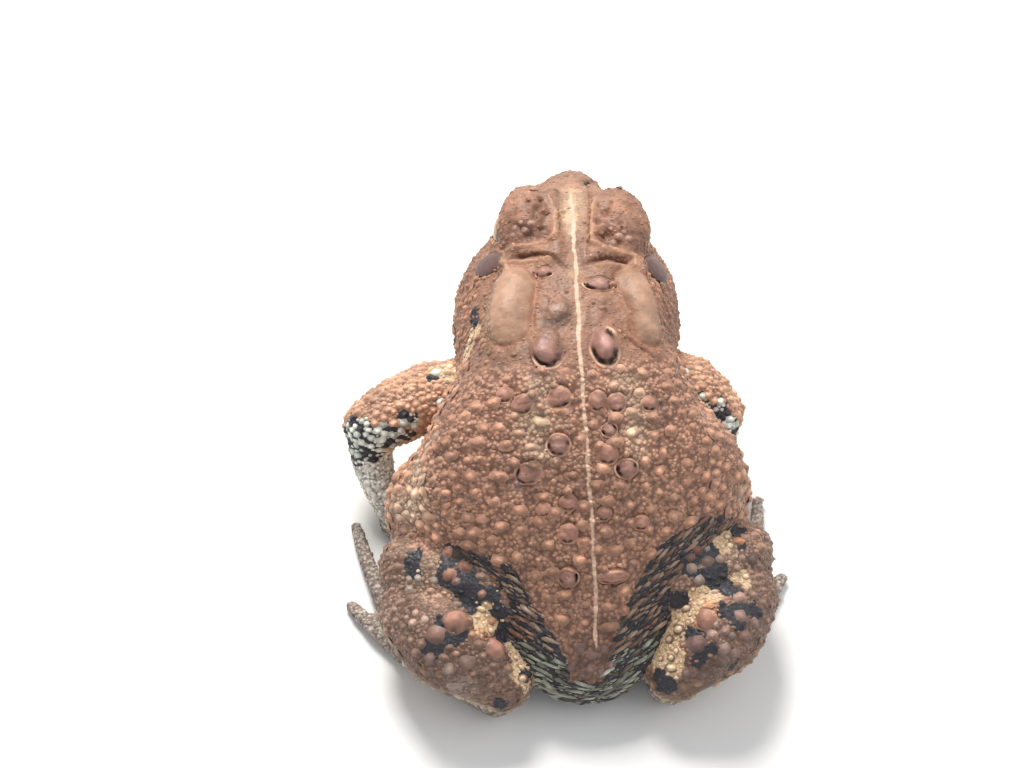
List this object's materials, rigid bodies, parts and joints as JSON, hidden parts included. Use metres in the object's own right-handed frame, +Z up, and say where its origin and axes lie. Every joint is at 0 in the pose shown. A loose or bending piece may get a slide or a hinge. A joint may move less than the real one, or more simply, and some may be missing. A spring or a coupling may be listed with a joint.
{
  "type": "american toad model",
  "caption": "Still, life-size model of an American toad sitting with its head raised and its hind legs folded, warty brown back with a pale midline stripe.",
  "frame": {"origin": "on the floor under the middle of the model's box", "axes": "+Z up, -Y the way the toad faces, +X its own left"},
  "size_m": [0.0614, 0.071, 0.0382],
  "materials": {
    "back_skin": "dry matte painted skin, warty, reddish brown with a pale midline stripe",
    "leg_skin": "dry matte painted skin, brown with black and cream blotches",
    "arm_skin": "dry matte painted skin, orange tan above, dark with white spots below",
    "eye": "polished, gold iris with a black level pupil",
    "eardrum": "smooth satin"
  },
  "bodies": {
    "root": {"head": "back_skin", "jaw": "back_skin", "torso": "back_skin", "eye_left": "eye", "eye_right": "eye", "tympanum_left": "eardrum", "tympanum_right": "eardrum", "upper_arm_left": "arm_skin", "upper_arm_right": "arm_skin", "forearm_left": "arm_skin", "forearm_right": "arm_skin", "hand_left": "arm_skin", "hand_right": "arm_skin", "thigh_left": "leg_skin", "thigh_right": "leg_skin", "shank_left": "leg_skin", "shank_right": "leg_skin", "foot_left": "leg_skin", "foot_right": "leg_skin"}
  },
  "joints": []
}
